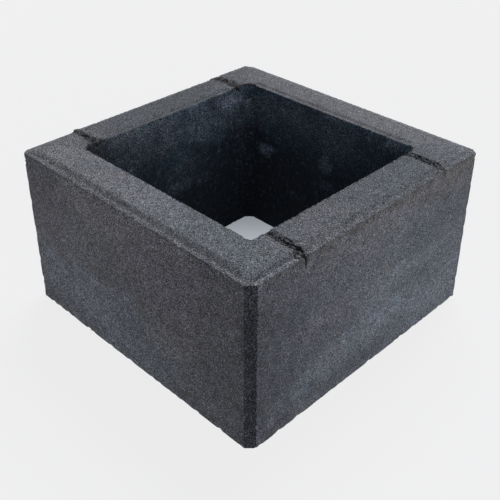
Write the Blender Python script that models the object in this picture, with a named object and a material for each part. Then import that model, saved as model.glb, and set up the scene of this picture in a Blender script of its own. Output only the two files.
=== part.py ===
"""Hollow concrete fence block, pressed in one piece.

Four walls stand round a core that is open at the top and the bottom. The block stands on its
open base at z = 0, centred on X and Y. The front face looks along -Y and the right face along +X.
The mould presses a sunken land and a slope along the top edges, and the two bars that held the
mould's core leave a ragged mark across the left wall and across the right wall.
"""
import math
import random
from collections import namedtuple

import bmesh
import bpy
from mathutils import Vector

# Size of the block, in metres
LENGTH = 0.360
WIDTH = 0.360
HEIGHT = 0.200

# Walls and core
WALL = 0.050
CORE_DRAFT = 0.0025
CORE_RADIUS = 0.012
CORE_RADIUS_LEFT = 0.008
CORE_RADIUS_FRONT = 0.003

# Outer corners: a flat cut down the height, which turns into a round one on the top
CORNER_CUT = 0.0085
TOP_CORNER_RADIUS = 0.014
LAND_ROUNDNESS = 0.6

# Mesh steps, and the distance by which a cutter runs past what it cuts
CORNER_STEPS = 6
CUT_MARGIN = 0.004

# A pressed edge, from the face inwards: how far the arris lies below the top, how wide the land
# is, how far its inner side lies below the top, and how wide the slope up to the top is
PressedEdge = namedtuple("PressedEdge", "arris_drop land_width land_drop slope_width")
FRONT_EDGE = PressedEdge(0.0035, 0.0061, 0.0033, 0.0064)
RIGHT_EDGE = PressedEdge(0.0035, 0.0052, 0.0026, 0.0073)
RIGHT_BACK_EDGE = PressedEdge(0.0036, 0.0060, 0.0022, 0.0065)
BACK_EDGE = PressedEdge(0.0052, 0.0055, 0.0032, 0.0065)
LEFT_BACK_EDGE = PressedEdge(0.0037, 0.0050, 0.0028, 0.0060)
LEFT_EDGE = PressedEdge(0.0047, 0.0052, 0.0032, 0.0063)
LEFT_FRONT_EDGE = PressedEdge(0.0062, 0.0058, 0.0034, 0.0063)

# Half the stretch over which one pressed edge turns into the next at a bar's line
EDGE_CHANGE = 0.0016

# The fainter pressed edge round the core, and how it fades out at its ends
CORE_EDGE = PressedEdge(0.0015, 0.0052, 0.0019, 0.0030)
CORE_EDGE_RUN_OUT = 0.007

# Two bars held the core, one each side of the middle, and left marks across the side walls
BAR_SPACING = 0.220
MARK_WIDTH = 0.0092
MARK_DEPTH = 0.0050
MARK_STEP = 0.0030
MARK_END = 0.012
MARK_RAGGED = 0.15

# How far a mark's line may step aside, and the share of its last place that it keeps
MARK_WANDER = 0.0008
MARK_MEMORY = 0.6

# Half of a mark's cross-section, from its rim to its floor: each point's distance from the
# middle as a share of half the width, and its depth as a share of the mark's depth
MARK_RIM = 1.18
MARK_FLANK = ((1.00, 0.10), (0.65, 0.55), (0.28, 0.90))

# A bar mark: which wall it crosses (-1 left, 1 right), which bar made it (-1 front, 1 back), its
# place off the bar's line, how much wider its mouth at the core is, the share of its depth that
# is left there, how much deeper it gets at the outer face, how far it drags down that face, and
# its random seed
BarMark = namedtuple("BarMark", "wall bar offset flare mouth dip drag seed")
BAR_MARKS = (
    BarMark(wall=1, bar=-1, offset=0.0008, flare=0.10, mouth=0.15, dip=0.0030, drag=0.0145, seed=3),
    BarMark(wall=1, bar=1, offset=0.0020, flare=0.35, mouth=0.60, dip=0.0008, drag=0.0060, seed=8),
    BarMark(wall=-1, bar=-1, offset=-0.0012, flare=0.80, mouth=1.00, dip=0.0030, drag=0.0, seed=5),
    BarMark(wall=-1, bar=1, offset=-0.0008, flare=0.60, mouth=1.00, dip=0.0030, drag=0.0, seed=12),
)

# The scrape that a mark drags down the outer face, a thin cone with this many sides
DRAG_WIDTH = 0.0044
DRAG_DEPTH = 0.0022
DRAG_TIP = 0.0004
DRAG_SIDES = 7

# Finish of the concrete
CONCRETE_COLOUR = (0.088, 0.090, 0.100, 1.0)
CONCRETE_ROUGHNESS = 0.93


def clear_scene():
    """Removes every object, so that the part stands alone."""
    for item in list(bpy.data.objects):
        bpy.data.objects.remove(item, do_unlink=True)


def concrete_material():
    """Dark grey pressed concrete, matt and without metal."""
    material = bpy.data.materials.new("pressed_concrete")
    material.use_nodes = True
    shader = material.node_tree.nodes["Principled BSDF"]
    shader.inputs["Base Color"].default_value = CONCRETE_COLOUR
    shader.inputs["Roughness"].default_value = CONCRETE_ROUGHNESS
    shader.inputs["Metallic"].default_value = 0.0
    material.diffuse_color = CONCRETE_COLOUR
    return material


def loft(bm, loops):
    """Grows a closed solid through loops of equal length, by extruding one cap after another.

    Each vertex carries the number of its station, so that every extruded cap finds its places.
    """
    station = bm.verts.layers.int.new("station")
    start = []
    for number, place in enumerate(loops[0]):
        vert = bm.verts.new(place)
        vert[station] = number
        start.append(vert)
    base = bm.faces.new(start)
    cap = base
    for loop in loops[1:]:
        grown = bmesh.ops.extrude_face_region(bm, geom=[cap])["geom"]
        if cap is not base:
            bmesh.ops.delete(bm, geom=[cap], context="FACES_ONLY")
        cap = next(item for item in grown if isinstance(item, bmesh.types.BMFace))
        for vert in cap.verts:
            vert.co = loop[vert[station]]
    bmesh.ops.recalc_face_normals(bm, faces=bm.faces)


def lofted_object(name, loops):
    """An object whose mesh is lofted through the loops."""
    mesh = bpy.data.meshes.new(name)
    bm = bmesh.new()
    loft(bm, loops)
    bm.to_mesh(mesh)
    bm.free()
    item = bpy.data.objects.new(name, mesh)
    bpy.context.scene.collection.objects.link(item)
    return item


def cut(target, cutter):
    """Subtracts the cutter from the target with a Boolean, and keeps the cutter as a guide."""
    cutter.hide_render = True
    cutter.display_type = "WIRE"
    boolean = target.modifiers.new(cutter.name, "BOOLEAN")
    boolean.operation = "DIFFERENCE"
    boolean.solver = "EXACT"
    boolean.object = cutter


def between(low, high, share):
    """The value, vector or pressed edge at a share of the way from low to high."""
    if isinstance(low, PressedEdge):
        return PressedEdge(*(between(a, b, share) for a, b in zip(low, high)))
    return low + (high - low) * share


def corner_points(apex, before, after, leg, roundness):
    """Points across a right-angled corner, from the side before it to the side after it.

    The ends lie one leg from the apex. A roundness of 0 gives a flat chamfer, and 1 a fillet.
    """
    start = apex - before * leg
    end = apex + after * leg
    centre = start + after * leg
    points = []
    for step in range(CORNER_STEPS + 1):
        share = step / CORNER_STEPS
        angle = share * math.pi / 2
        chord = between(start, end, share)
        arc = centre - after * leg * math.cos(angle) + before * leg * math.sin(angle)
        points.append(between(chord, arc, roundness))
    return points


def outline_sides():
    """The four faces, counter-clockwise from the front.

    Each one has its outward normal, its distance from the middle, and its pressed edges in
    order. The edges change where the lines of the two bars cross the face.
    """
    return (
        (Vector((0, -1)), WIDTH / 2, (FRONT_EDGE,)),
        (Vector((1, 0)), LENGTH / 2, (FRONT_EDGE, RIGHT_EDGE, RIGHT_BACK_EDGE)),
        (Vector((0, 1)), WIDTH / 2, (BACK_EDGE,)),
        (Vector((-1, 0)), LENGTH / 2, (LEFT_BACK_EDGE, LEFT_EDGE, LEFT_FRONT_EDGE)),
    )


def outline(level):
    """The block's outline at one level: base, arris, land or top."""
    sides = outline_sides()
    bar_lines = (-BAR_SPACING / 2, BAR_SPACING / 2)
    loop = []
    for number, (normal, distance, edges) in enumerate(sides):
        tangent = Vector((-normal.y, normal.x))
        for line, edge, after in zip(bar_lines, edges, edges[1:]):
            for shift, kept in ((-EDGE_CHANGE, edge), (EDGE_CHANGE, after)):
                inset, height = edge_level(kept, level)
                flat = normal * (distance - inset) + tangent * (line + shift)
                loop.append(flat.to_3d() + Vector((0, 0, height)))
        next_normal, next_distance, next_edges = sides[(number + 1) % len(sides)]
        inset, _ = edge_level(edges[-1], level)
        next_inset, _ = edge_level(next_edges[0], level)
        apex = normal * (distance - inset) + next_normal * (next_distance - next_inset)
        leg, roundness = corner_shape(level)
        points = corner_points(apex, tangent, -normal, leg, roundness)
        for step, point in enumerate(points):
            mixed = between(edges[-1], next_edges[0], step / CORNER_STEPS)
            loop.append(point.to_3d() + Vector((0, 0, edge_level(mixed, level)[1])))
    return loop


def edge_level(edge, level):
    """How far a level lies in from the face, and its height."""
    return {
        "base": (0.0, 0.0),
        "arris": (0.0, HEIGHT - edge.arris_drop),
        "land": (edge.land_width, HEIGHT - edge.land_drop),
        "top": (edge.land_width + edge.slope_width, HEIGHT),
    }[level]


def corner_shape(level):
    """The leg and the roundness of the outer corners: chamfers below, fillets at the top."""
    if level in ("base", "arris"):
        return CORNER_CUT, 0.0
    if level == "land":
        return (CORNER_CUT + TOP_CORNER_RADIUS) / 2, LAND_ROUNDNESS
    return TOP_CORNER_RADIUS, 1.0


def core_half_sizes(height):
    """Half length and half width of the core at a height: it narrows towards the base."""
    taper = CORE_DRAFT * (HEIGHT - height) / HEIGHT
    return LENGTH / 2 - WALL - taper, WIDTH / 2 - WALL - taper


def core_loop(height):
    """The core's outline at a height, counter-clockwise from its front right corner."""
    half_x, half_y = core_half_sizes(height)
    x_axis = Vector((1, 0))
    y_axis = Vector((0, 1))
    corners = (
        (Vector((half_x, -half_y)), x_axis, y_axis, CORE_RADIUS_FRONT),
        (Vector((half_x, half_y)), y_axis, -x_axis, CORE_RADIUS),
        (Vector((-half_x, half_y)), -x_axis, -y_axis, CORE_RADIUS),
        (Vector((-half_x, -half_y)), -y_axis, x_axis, CORE_RADIUS_LEFT),
    )
    loop = []
    for apex, before, after, radius in corners:
        for point in corner_points(apex, before, after, radius, 1.0):
            loop.append(point.to_3d() + Vector((0, 0, height)))
    return loop


def core_cutter():
    """The drafted core of the mould, run out past both ends of the block."""
    return lofted_object("core", [core_loop(-CUT_MARGIN), core_loop(HEIGHT + CUT_MARGIN)])


def core_edge_cutter(name, outward, face, start, end):
    """The land and slope pressed along one wall's inner top edge, fading out at both ends.

    The wall lies outward of the core, its core face is at the distance face, and the pressed
    edge runs from start to end along it.
    """
    along = Vector((-outward.y, outward.x))
    sections = ((start, 0.0), (start + CORE_EDGE_RUN_OUT, 1.0), (end - CORE_EDGE_RUN_OUT, 1.0), (end, 0.0))
    edge = CORE_EDGE
    above = HEIGHT + CUT_MARGIN
    loops = []
    for place, depth in sections:
        lift = (1.0 - depth) * CUT_MARGIN / 2
        profile = (
            (-CUT_MARGIN, HEIGHT - edge.arris_drop * depth + lift),
            (0.0, HEIGHT - edge.arris_drop * depth + lift),
            (edge.land_width, HEIGHT - edge.land_drop * depth + lift),
            (edge.land_width + edge.slope_width, HEIGHT + lift),
            (edge.land_width + edge.slope_width + CUT_MARGIN, above + lift),
            (-CUT_MARGIN, above + lift),
        )
        loop = []
        for reach, height in profile:
            flat = outward * (face + reach) + along * place
            loop.append(flat.to_3d() + Vector((0, 0, height)))
        loops.append(loop)
    return lofted_object(name, loops)


def mark_section(chance, half, depth):
    """One ragged cross-section of a bar mark, as offsets across it and depths below the top."""
    section = []
    for side, flank in ((-1, MARK_FLANK), (1, MARK_FLANK[::-1])):
        for share, deep in flank:
            across = side * half * (share + chance.uniform(-MARK_RAGGED, MARK_RAGGED))
            below = depth * (deep + chance.uniform(-MARK_RAGGED, MARK_RAGGED) * deep)
            section.append((across, below))
    rim = half * MARK_RIM * (1.0 + MARK_RAGGED)
    return [(-rim, -CUT_MARGIN)] + section + [(rim, -CUT_MARGIN)]


def mark_cutter(mark):
    """The trench that one bar left across one wall, from its mouth at the core to the outer face."""
    chance = random.Random(mark.seed)
    start = LENGTH / 2 - WALL - CUT_MARGIN
    end = LENGTH / 2 + CUT_MARGIN
    steps = round((end - start) / MARK_STEP)
    centre = mark.bar * BAR_SPACING / 2 + mark.offset
    aside = 0.0
    loops = []
    for step in range(steps + 1):
        reach = between(start, end, step / steps)
        near_core = max(0.0, 1.0 - (reach - start) / MARK_END)
        near_face = max(0.0, 1.0 - (end - reach) / MARK_END)
        aside = aside * MARK_MEMORY + chance.uniform(-MARK_WANDER, MARK_WANDER)
        half = MARK_WIDTH / 2 * (1.0 + mark.flare * near_core)
        ragged = 1.0 + chance.uniform(-MARK_RAGGED, MARK_RAGGED)
        depth = MARK_DEPTH * ragged * between(1.0, mark.mouth, near_core) + mark.dip * near_face
        loop = []
        for across, below in mark_section(chance, half, depth):
            loop.append(Vector((mark.wall * reach, centre + aside + across, HEIGHT - below)))
        loops.append(loop)
    return lofted_object("mark_" + mark_place(mark), loops)


def mark_place(mark):
    """The words that name a mark's place."""
    return "{}_{}".format("right" if mark.wall > 0 else "left", "back" if mark.bar > 0 else "front")


def drag_cutter(mark):
    """The scrape that runs down the outer face below a bar mark, ending nearly in a point."""
    name = "drag_" + mark_place(mark)
    length = mark.drag + MARK_DEPTH
    top = HEIGHT - FRONT_EDGE.arris_drop + MARK_DEPTH / 2
    mesh = bpy.data.meshes.new(name)
    bm = bmesh.new()
    made = bmesh.ops.create_cone(bm, cap_ends=True, segments=DRAG_SIDES, radius1=DRAG_TIP / 2,
                                 radius2=DRAG_WIDTH / 2, depth=length)
    bmesh.ops.scale(bm, vec=(2 * DRAG_DEPTH / DRAG_WIDTH, 1.0, 1.0), verts=made["verts"])
    bm.to_mesh(mesh)
    bm.free()
    item = bpy.data.objects.new(name, mesh)
    bpy.context.scene.collection.objects.link(item)
    centre = mark.bar * BAR_SPACING / 2 + mark.offset
    item.location = (mark.wall * LENGTH / 2, centre, top - length / 2)
    item.rotation_euler = (0.0, -mark.wall * math.atan2(DRAG_DEPTH / 2, mark.drag), 0.0)
    return item


def fence_block():
    """The block: its pressed outside, less the core, the pressed core edges and the bar marks."""
    levels = ("base", "arris", "land", "top")
    block = lofted_object("fence_block", [outline(level) for level in levels])
    block.data.materials.append(concrete_material())
    cut(block, core_cutter())
    half_x, half_y = core_half_sizes(HEIGHT)
    back_end = half_x - CORE_RADIUS / 2
    left_end = BAR_SPACING / 2 - MARK_WIDTH
    cut(block, core_edge_cutter("core_edge_back", Vector((0, 1)), half_y, -back_end, back_end))
    cut(block, core_edge_cutter("core_edge_left", Vector((-1, 0)), half_x, -left_end, left_end))
    for mark in BAR_MARKS:
        cut(block, mark_cutter(mark))
        if mark.drag > 0.0:
            cut(block, drag_cutter(mark))
    return block


clear_scene()
fence_block()
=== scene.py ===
"""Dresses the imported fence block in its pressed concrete.

The block's skin is one closed mesh of rings that run round its walls. Every point of it is read
off the solid by casting a ray, so the form is the solid's own, and then worn by the grain, the
pits, the chipped edges and the rubble in the marks that the two core bars left.
"""
import math
import random

import bmesh
import bpy
import numpy as np
from bpy.props import FloatProperty, FloatVectorProperty, IntProperty, PointerProperty
from mathutils import Euler, Matrix, Vector, noise
from mathutils.bvhtree import BVHTree


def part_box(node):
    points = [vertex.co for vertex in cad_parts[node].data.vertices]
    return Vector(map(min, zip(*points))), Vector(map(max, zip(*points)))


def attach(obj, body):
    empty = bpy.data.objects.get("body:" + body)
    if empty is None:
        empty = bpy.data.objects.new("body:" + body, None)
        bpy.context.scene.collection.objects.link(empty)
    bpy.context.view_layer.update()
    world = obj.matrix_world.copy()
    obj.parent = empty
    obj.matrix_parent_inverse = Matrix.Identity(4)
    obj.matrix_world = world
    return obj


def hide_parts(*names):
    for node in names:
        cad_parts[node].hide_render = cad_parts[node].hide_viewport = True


bl_info = {
    "name": "Concrete fence block",
    "version": (1, 0, 0),
    "blender": (4, 5, 0),
    "location": "View3D > Sidebar > Fence block",
    "description": "Skins the packed fence block with worn, dry-pressed concrete and lights it",
    "category": "Mesh",
}

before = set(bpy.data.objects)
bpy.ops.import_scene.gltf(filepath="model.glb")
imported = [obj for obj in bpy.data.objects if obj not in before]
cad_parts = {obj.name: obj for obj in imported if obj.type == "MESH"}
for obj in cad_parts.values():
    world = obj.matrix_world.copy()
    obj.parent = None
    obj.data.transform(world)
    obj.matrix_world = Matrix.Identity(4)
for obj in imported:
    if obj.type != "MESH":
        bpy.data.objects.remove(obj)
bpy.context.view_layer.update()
NODE = "fence_block"
BODY = "root"
CONCRETE = "pressed_concrete"
MM = 0.001

# Places on the solid, taken from the frame. Rays are cast a little inside its edges to meet it.
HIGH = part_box(NODE)[1]
HALF = HIGH.x
TOP = HIGH.z
ABOVE = TOP + 50 * MM
GRAB = 0.05 * MM
RIM_GRAB = 3 * GRAB
FOOT = 2 * GRAB
RIM_READ = TOP - 12 * MM

# The wall's width and the skin's rings across it, in mm from the edge that each run starts at
WALL = 50.0
ARRIS_ROWS = (0.6, 1.3, 2.2, 3.3, 4.5, 6.0, 8.0, 10.0, 12.5, 15.0, 18.0)
TOP_OUTER_ROWS = (0.6, 1.3, 2.2, 3.3, 4.5, 5.7, 6.9, 8.1, 9.3, 10.5, 11.7, 12.9)
TOP_INNER_ROWS = (10.5, 9.3, 8.1, 6.9, 5.7, 4.5, 3.3, 2.2, 1.3, 0.6)
CORE_ROWS = (0.6, 1.4, 2.6, 4.2, 6.5)
BASE_ROWS = (2.4, 12.0, 25.0, 38.0, 47.6)

# The coarse rings: how far below the arris and the core's edge they end, their spacing as a
# multiple of the face step, and the lowest of them as shares of the height that they cover
ARRIS_BAND = 22 * MM
RIM_BAND = 9 * MM
OUTER_SPACING = 1.25
CORE_SPACING = 1.4
FOOT_SHARES = (0.0, 0.004, 0.014)
FIRST_SHARE = 0.03

# Space between the skin's points on the flat corner cuts, and at the edges of these
CUT_STEP = 2.8 * MM
CUT_EDGE = 1.0 * MM

# The sides that the bars cross, counted from the front one, the zones of the top, and the
# distance from an edge that the whole flat bed of the top counts as having
MARKED_SIDES = (1, 3)
TOP_ZONES = ("top", "arris", "rim")
BED_EDGE = 12 * MM

# Sizes of the slow waves, of the ripples on the faces, of the chips and of the pits' spacing
WAVE_SIZE = 38 * MM
RIPPLE_SIZE = 11 * MM
CHIP_SIZE = 3.0 * MM
PIT_SPACING = 7 * MM

# How far from an edge its rounding and its chips reach, and how hard the chips bite: away from
# the base and along its edges, first round the core and then outside
ROUND_REACH = 0.9 * MM
CHIP_REACH = 1.7 * MM
CORE_BITES = (3.0, 0.6)
OUTER_BITES = (2.1, 1.5)
BASE_BAND = 3 * MM

# How near to a corner cut its chips still reach, and how strong they are there
CORNER_BAND = 1.5 * MM
CORNER_CHIPS = 0.45

# The borders of the land, the slope and the flat bed, from the arris inwards, and how far the
# pressed edge reaches and how much coarser its grain is
LAND_TO_SLOPE = (5.0 * MM, 7.5 * MM)
SLOPE_TO_BED = (10.5 * MM, 12.9 * MM)
PRESSED_REACH = 11 * MM
PRESSED_GRAIN = 1.15

# The bar marks: how far out they start, between which distances from the middle they lie, how much
# wider than the bar's reach one is looked for, and the least sum of a ring's depths that tells
# where its middle is
MARK_FROM = 120 * MM
MARK_ACROSS = (90 * MM, 135 * MM)
MARK_WINDOW = 1.3
LEAST_DIP = 2 * MM

# Cracks and pits in the marks: their ragged borders in half widths, the least half width of a
# crack in mm, how deep a pit is beside a crack, and the cracks' depth
CRACK_BORDER = (1.5, 0.6)
PIT_BORDER = (1.25, 0.45)
LEAST_HALF = 0.25
PIT_SHARE = 0.9
CRACK_DEPTH = 2.2 * MM

# The marks' rubble: the least depth of a mark, how much of it the gaps between the lumps and the
# cracks leave open, how far crumbs spill beside it and how deep the surface crumbles there
LEAST_DEPTH = 0.1 * MM
GAP_OPEN = 0.55
CRACK_OPEN = 0.95
SPILL_REACH = 5 * MM
CRUMBLE_DEPTH = 1.2 * MM

# The grid that a mark's trench is read on: its step along the mark, how far from the outer face it
# ends, and how many columns it has across the mark
GRID_STEP = 1.0 * MM
GRID_END = 0.6 * MM
GRID_COLUMNS = 60

# Loose crumbs: the seed, how many are tried in each mark, their least, greatest and likeliest half
# width in mm, how deep they sit and how close two may lie as shares of it, and their least trench
CRUMB_SEED = 5
CRUMB_TRIES = 900
CRUMB_HALVES = (0.6, 2.1, 1.2)
CRUMB_SINK = (0.55, 1.25)
CRUMB_SPACE = 0.72
CRUMB_TRENCH = 0.9 * MM

# How lumpy a crumb is, how flat it may be in two of its directions, the coarseness of its grain,
# how much it is darkened, and how far a clod sinks in as a share of its half width
CRUMB_LUMPS = 0.42
CRUMB_FLAT = ((0.7, 1.0), (0.55, 0.9))
CRUMB_GRAIN = 0.8
CRUMB_TONE = (-0.25, 0.60)
CLOD_SINK = 0.25

# Width of the painted grain and the height of its bumps
GRAIN_SIZE = 0.72 * MM
GRAIN_HEIGHT = 0.28 * MM

# How much coarser the grain is on the flat corner cuts, and how much they are darkened, partly as painted
# shade and partly for their darker concrete
CUT_GRAIN = 1.5
CUT_SHADE = 0.50

# Sizes of the lumps in the borders of wide patches and of small ones, and the widest small one in mm
LUMP_SIZE = 28 * MM
FLECK_SIZE = 10 * MM
SMALL_PATCH = 30

# Heights between which painted shade darkens the core's walls towards the base
CORE_FADE = (165 * MM, 60 * MM)

# The floor: its radius, its drop below the block, and the share of its colour that lights the block
FLOOR_RADIUS = 9.0
FLOOR_DROP = 0.2 * MM
FLOOR_SHARE = 0.16

# The floor as the camera sees it: how much of it glows inside the core and near the block, where it
# turns all to glow, and how the painted shade of its glow in the core changes along the camera's way
CORE_GLOW = 0.97
NEAR_GLOW = 0.94
GLOW_REACH = (0.35, 1.4)
CORE_BORDER = (0.150, 0.156)
CORE_SHADES = ((-0.26, 0.82), (-0.14, 1.42))

# The light from all round: heights of its full and its weakest level, and that level
SKY_BAND = (0.05, 0.60)
SKY_TOP = 0.12

# The sun: the direction that it comes from, its spread in degrees, its strength and its tint
SUN = ((-0.25, 0.50, 0.83), 35.0, 3.54, (0.97, 1.0, 1.01))

# The soft lamps: each one's place, width in metres, power in watts and tint
LAMPS = {
    "lamp_left": ((-1.60, -1.30, 0.14), 0.35, 23.0, (1.0, 0.98, 0.965)),
    "lamp_right": ((1.50, 1.55, 0.14), 0.40, 34.5, (0.98, 0.995, 1.0)),
    "lamp_side": ((1.75, -0.35, 0.80), 1.1, 9.0, (0.92, 0.96, 1.0)),
}

# Width of the camera's sensor in mm
SENSOR = 36.0

# The four bar marks by wall and bar. Threes are at the core, midway and at the arris: how full of
# packed rubble the mark is, how thickly crumbs lie in it and how far its sides crumble. Cracks are
# runs of points, each its distance from the block's middle along the mark and across it and the
# crack's half width there. Pits are given by the same two distances and their radius. All in mm.
MARK_STOPS = (132 * MM, 155 * MM, 178 * MM)
MARKS = {
    (1, -1): dict(
        packed=(0.50, 0.25, 0.10), crumbs=(0.95, 0.65, 0.65), spill=(0.3, 0.3, 0.8), brown=0.0,
        cracks=(
            ((134, 109, 0.6), (141, 107, 0.6), (147.4, 108.9, 1.2), (156, 110.3, 1.2), (162.7, 108.6, 1.5),
             (168, 107.6, 1.3), (173, 107.3, 1.2), (177, 109.8, 1.4), (180, 112.6, 1.5)),
            ((148, 104.5, 0.3), (153.6, 104.4, 1.0), (158, 105.5, 0.6), (161, 107, 0.4)),
        ),
        pits=((138.4, 103.6, 1.3), (136.8, 108.9, 1.3), (143, 111.5, 0.9), (134.5, 112.5, 1.0),
              (169.8, 115, 1.2), (172.2, 116.6, 1.0), (174.5, 117.8, 1.4), (177.2, 116.2, 1.1),
              (177.1, 112.6, 1.3))),
    (1, 1): dict(
        packed=(0.45, 0.35, 1.00), crumbs=(0.80, 0.80, 0.30), spill=(0.6, 0.8, 0.3), brown=0.0,
        cracks=(
            ((134.5, 115.3, 0.9), (139.4, 116.2, 0.9), (146, 115.2, 0.5), (152.6, 115.1, 1.7),
             (157, 114.8, 1.1), (162.2, 114.4, 0.9), (167, 116.7, 0.8)),
            ((139, 108.8, 0.5), (141.2, 109.6, 1.0), (146.1, 112.6, 1.0), (150, 110, 0.6),
             (157.5, 108.9, 1.0), (162, 110, 0.8), (166.8, 111.3, 1.0), (169, 113, 0.5)),
        ),
        pits=((136, 110.5, 1.0), (145.7, 106.5, 0.9), (167.2, 107.5, 0.9), (171.5, 112, 0.8),
              (175.4, 101.2, 1.2), (175.5, 104.7, 1.0), (176, 109.3, 0.8))),
    (-1, -1): dict(
        packed=(0.50, 0.90, 0.94), crumbs=(0.90, 0.60, 0.50), spill=(1.5, 0.7, 0.4), brown=0.10,
        cracks=(
            ((149, 111, 0.8), (152, 112, 1.4), (155.3, 112.7, 1.5), (160, 111.8, 1.2), (164.1, 111, 1.0),
             (169, 110.2, 0.9), (173.4, 109.8, 1.3), (178, 109.2, 1.3)),
        ),
        pits=((131, 125, 1.6), (133, 121, 1.3), (131.5, 116, 1.8), (132, 111, 1.3), (136.1, 112.8, 1.5),
              (137.7, 107.8, 1.4), (132.5, 105.5, 1.6), (134, 102.5, 1.0), (142.3, 107.6, 1.6),
              (150.5, 108, 1.0), (154.3, 104.3, 1.5), (155.5, 102.6, 1.0), (164, 101.6, 0.8))),
    (-1, 1): dict(
        packed=(0.90, 0.90, 0.85), crumbs=(0.70, 0.60, 0.50), spill=(1.3, 1.2, 0.9), brown=0.65,
        cracks=(
            ((141, 112, 1.2), (144, 113.8, 2.6), (147, 117, 2.2), (149, 119, 0.9)),
            ((154, 113, 0.9), (157, 114.5, 1.9), (160, 113, 1.2)),
            ((166, 114.8, 0.9), (168.6, 112, 1.5), (172.5, 108.5, 1.3), (178, 104.6, 1.0)),
        ),
        pits=((139.5, 116, 1.3), (137, 110, 1.1), (133.5, 113.5, 1.8), (132, 107, 1.3),
              (147, 107, 1.5), (151, 117, 0.9), (152, 111.5, 1.1), (158, 108.6, 1.7),
              (163, 110, 1.2), (167.5, 116.7, 1.3), (160.5, 127, 0.7), (171, 129.3, 0.9))),
}

# Clods that lie in the outer ends of the left wall's marks: place in plan and half width in mm
CLODS = (
    ((-176.6, -111.0), 1.9),
    ((-176.8, -108.2), 2.2),
    ((-176.8, -105.4), 2.0),
    ((-176.4, -103.0), 1.6),
    ((-176.8, 105.5), 1.8),
    ((-176.6, 108.0), 1.7),
)

# By the way that each wall faces: the painted shade on its pressed land and on the slope above it,
# which stands in for how the light falls on each, the darkening of its flat top, and the pale grains
# on its land. The right wall's near end differs from its rest.
LEDGES = {
    (0, -1): (0.30, 0.44, 0.00, 0.22),
    (1, 0): (0.26, 0.52, 0.185, 0.00),
    (0, 1): (0.05, 0.05, 0.00, 0.10),
    (-1, 0): (0.35, 0.40, 0.38, 0.10),
}

NEAR_END = (0.02, 0.62, 0.04, 0.12)

# Coarseness of the grain by zone: on the side walls, on the front one and on the back one
ROUGHNESS = {
    "outer": (1.26, 2.18, 1.30),
    "arris": (1.40, 1.60, 1.00),
    "top": (1.40, 1.45, 1.00),
    "rim": (1.40, 1.60, 1.20),
    "core": (2.10, 2.20, 2.40),
    "base": (1.20, 1.20, 1.20),
}

# How far patches on the faces and on the top reach into the block, in mm
FACE_DEPTH = 14
TOP_DEPTH = 12

# Soft patches on the front face, each a tint with its place along the face and up it, its reach the
# same two ways, all in mm, and its strength. The shade tints are painted shade.
FRONT_PATCHES = (
    ("damp", (-148, 162), (94, 80), 1.00),
    ("painted_shade", (-160, 150), (80, 120), 0.24),
    ("painted_shade", (-155, 50), (64, 60), 0.20),
    ("mauve", (-145, 120), (70, 70), 0.70),
    ("teal", (-60, 132), (85, 30), 0.40),
    ("pale", (-30, 172), (80, 34), 0.85),
    ("mauve", (65, 145), (110, 70), 0.80),
    ("damp", (145, 130), (60, 120), 0.35),
    ("damp", (-20, 98), (110, 20), 0.45),
    ("bloom", (-60, 34), (210, 80), 0.78),
    ("lilac", (-18, 78), (70, 18), 0.50),
    ("lilac", (-135, 62), (56, 30), 0.35),
    ("lilac", (-112, 38), (60, 24), 0.40),
    ("lilac", (-44, 42), (76, 46), 1.00),
    ("damp", (-145, 14), (76, 26), 0.50),
    ("damp", (105, 55), (75, 70), 0.12),
    ("pale", (62, 66), (50, 32), 0.55),
)

# The same for the right face. The shade tints are painted shade.
RIGHT_PATCHES = (
    ("bloom", (75, 50), (230, 105), 0.66),
    ("mauve", (-75, 170), (120, 40), 0.75),
    ("pale", (-40, 175), (120, 24), 0.45),
    ("damp", (-115, 125), (140, 130), 0.38),
    ("damp", (-140, 128), (90, 58), 0.80),
    ("damp", (-150, 66), (76, 32), 0.85),
    ("mauve", (-70, 100), (90, 40), 0.50),
    ("teal", (-70, 138), (90, 34), 0.35),
    ("damp", (-60, 84), (66, 24), 0.50),
    ("teal", (92, 138), (90, 46), 0.90),
    ("damp", (92, 145), (70, 44), 0.35),
    ("lilac", (54, 101), (80, 15), 0.50),
    ("bloom", (135, 96), (60, 24), 0.50),
    ("teal", (85, 74), (90, 24), 0.85),
    ("damp", (102, 60), (56, 24), 0.35),
    ("damp", (62, 28), (60, 20), 0.30),
    ("bloom", (-100, 40), (90, 24), 0.50),
    ("lilac", (-10, 56), (80, 20), 0.45),
    ("lilac", (55, 54), (66, 22), 0.85),
    ("bloom", (10, 60), (120, 20), 0.35),
    ("lilac", (112, 30), (66, 20), 0.45),
    ("damp", (-25, 17), (140, 24), 0.80),
    # The next two patches are painted shade along the front corner, where the light falls off
    ("damp", (-180, 100), (96, 260), 1.00),
    ("painted_shade", (-174, 105), (50, 180), 0.26),
    ("painted_shade", (-140, 160), (90, 70), 0.10),
    ("damp", (150, 135), (100, 90), 0.50),
    ("painted_shade", (155, 90), (70, 150), 0.14),
    ("tan", (130, 184), (120, 26), 0.70),
    ("tan", (30, 194), (330, 9), 0.90),
)

# The same for the top, from left to right and from front to back
TOP_PATCHES = (
    ("pale", (-150, -150), (100, 80), 1.00),
    ("pale", (-155, -140), (60, 50), 0.40),
    ("dust", (-162, -140), (60, 70), 0.36),
    ("pale", (-20, -152), (110, 34), 0.80),
    ("lilac", (20, -152), (90, 34), 0.25),
    ("pale", (-20, 157), (190, 40), 1.00),
    ("bloom", (155, 152), (55, 55), 0.35),
    ("pale", (155, 152), (60, 60), 0.50),
    ("pale", (60, 157), (120, 40), 0.60),
    ("dust", (70, 157), (110, 40), 0.12),
    ("dust", (-150, 152), (60, 60), 0.20),
    ("dust", (-152, 95), (40, 60), 0.10),
    ("teal", (155, 48), (46, 120), 0.62),
    ("teal", (-157, 10), (46, 125), 0.65),
    ("teal", (115, -150), (80, 46), 0.55),
)
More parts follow.
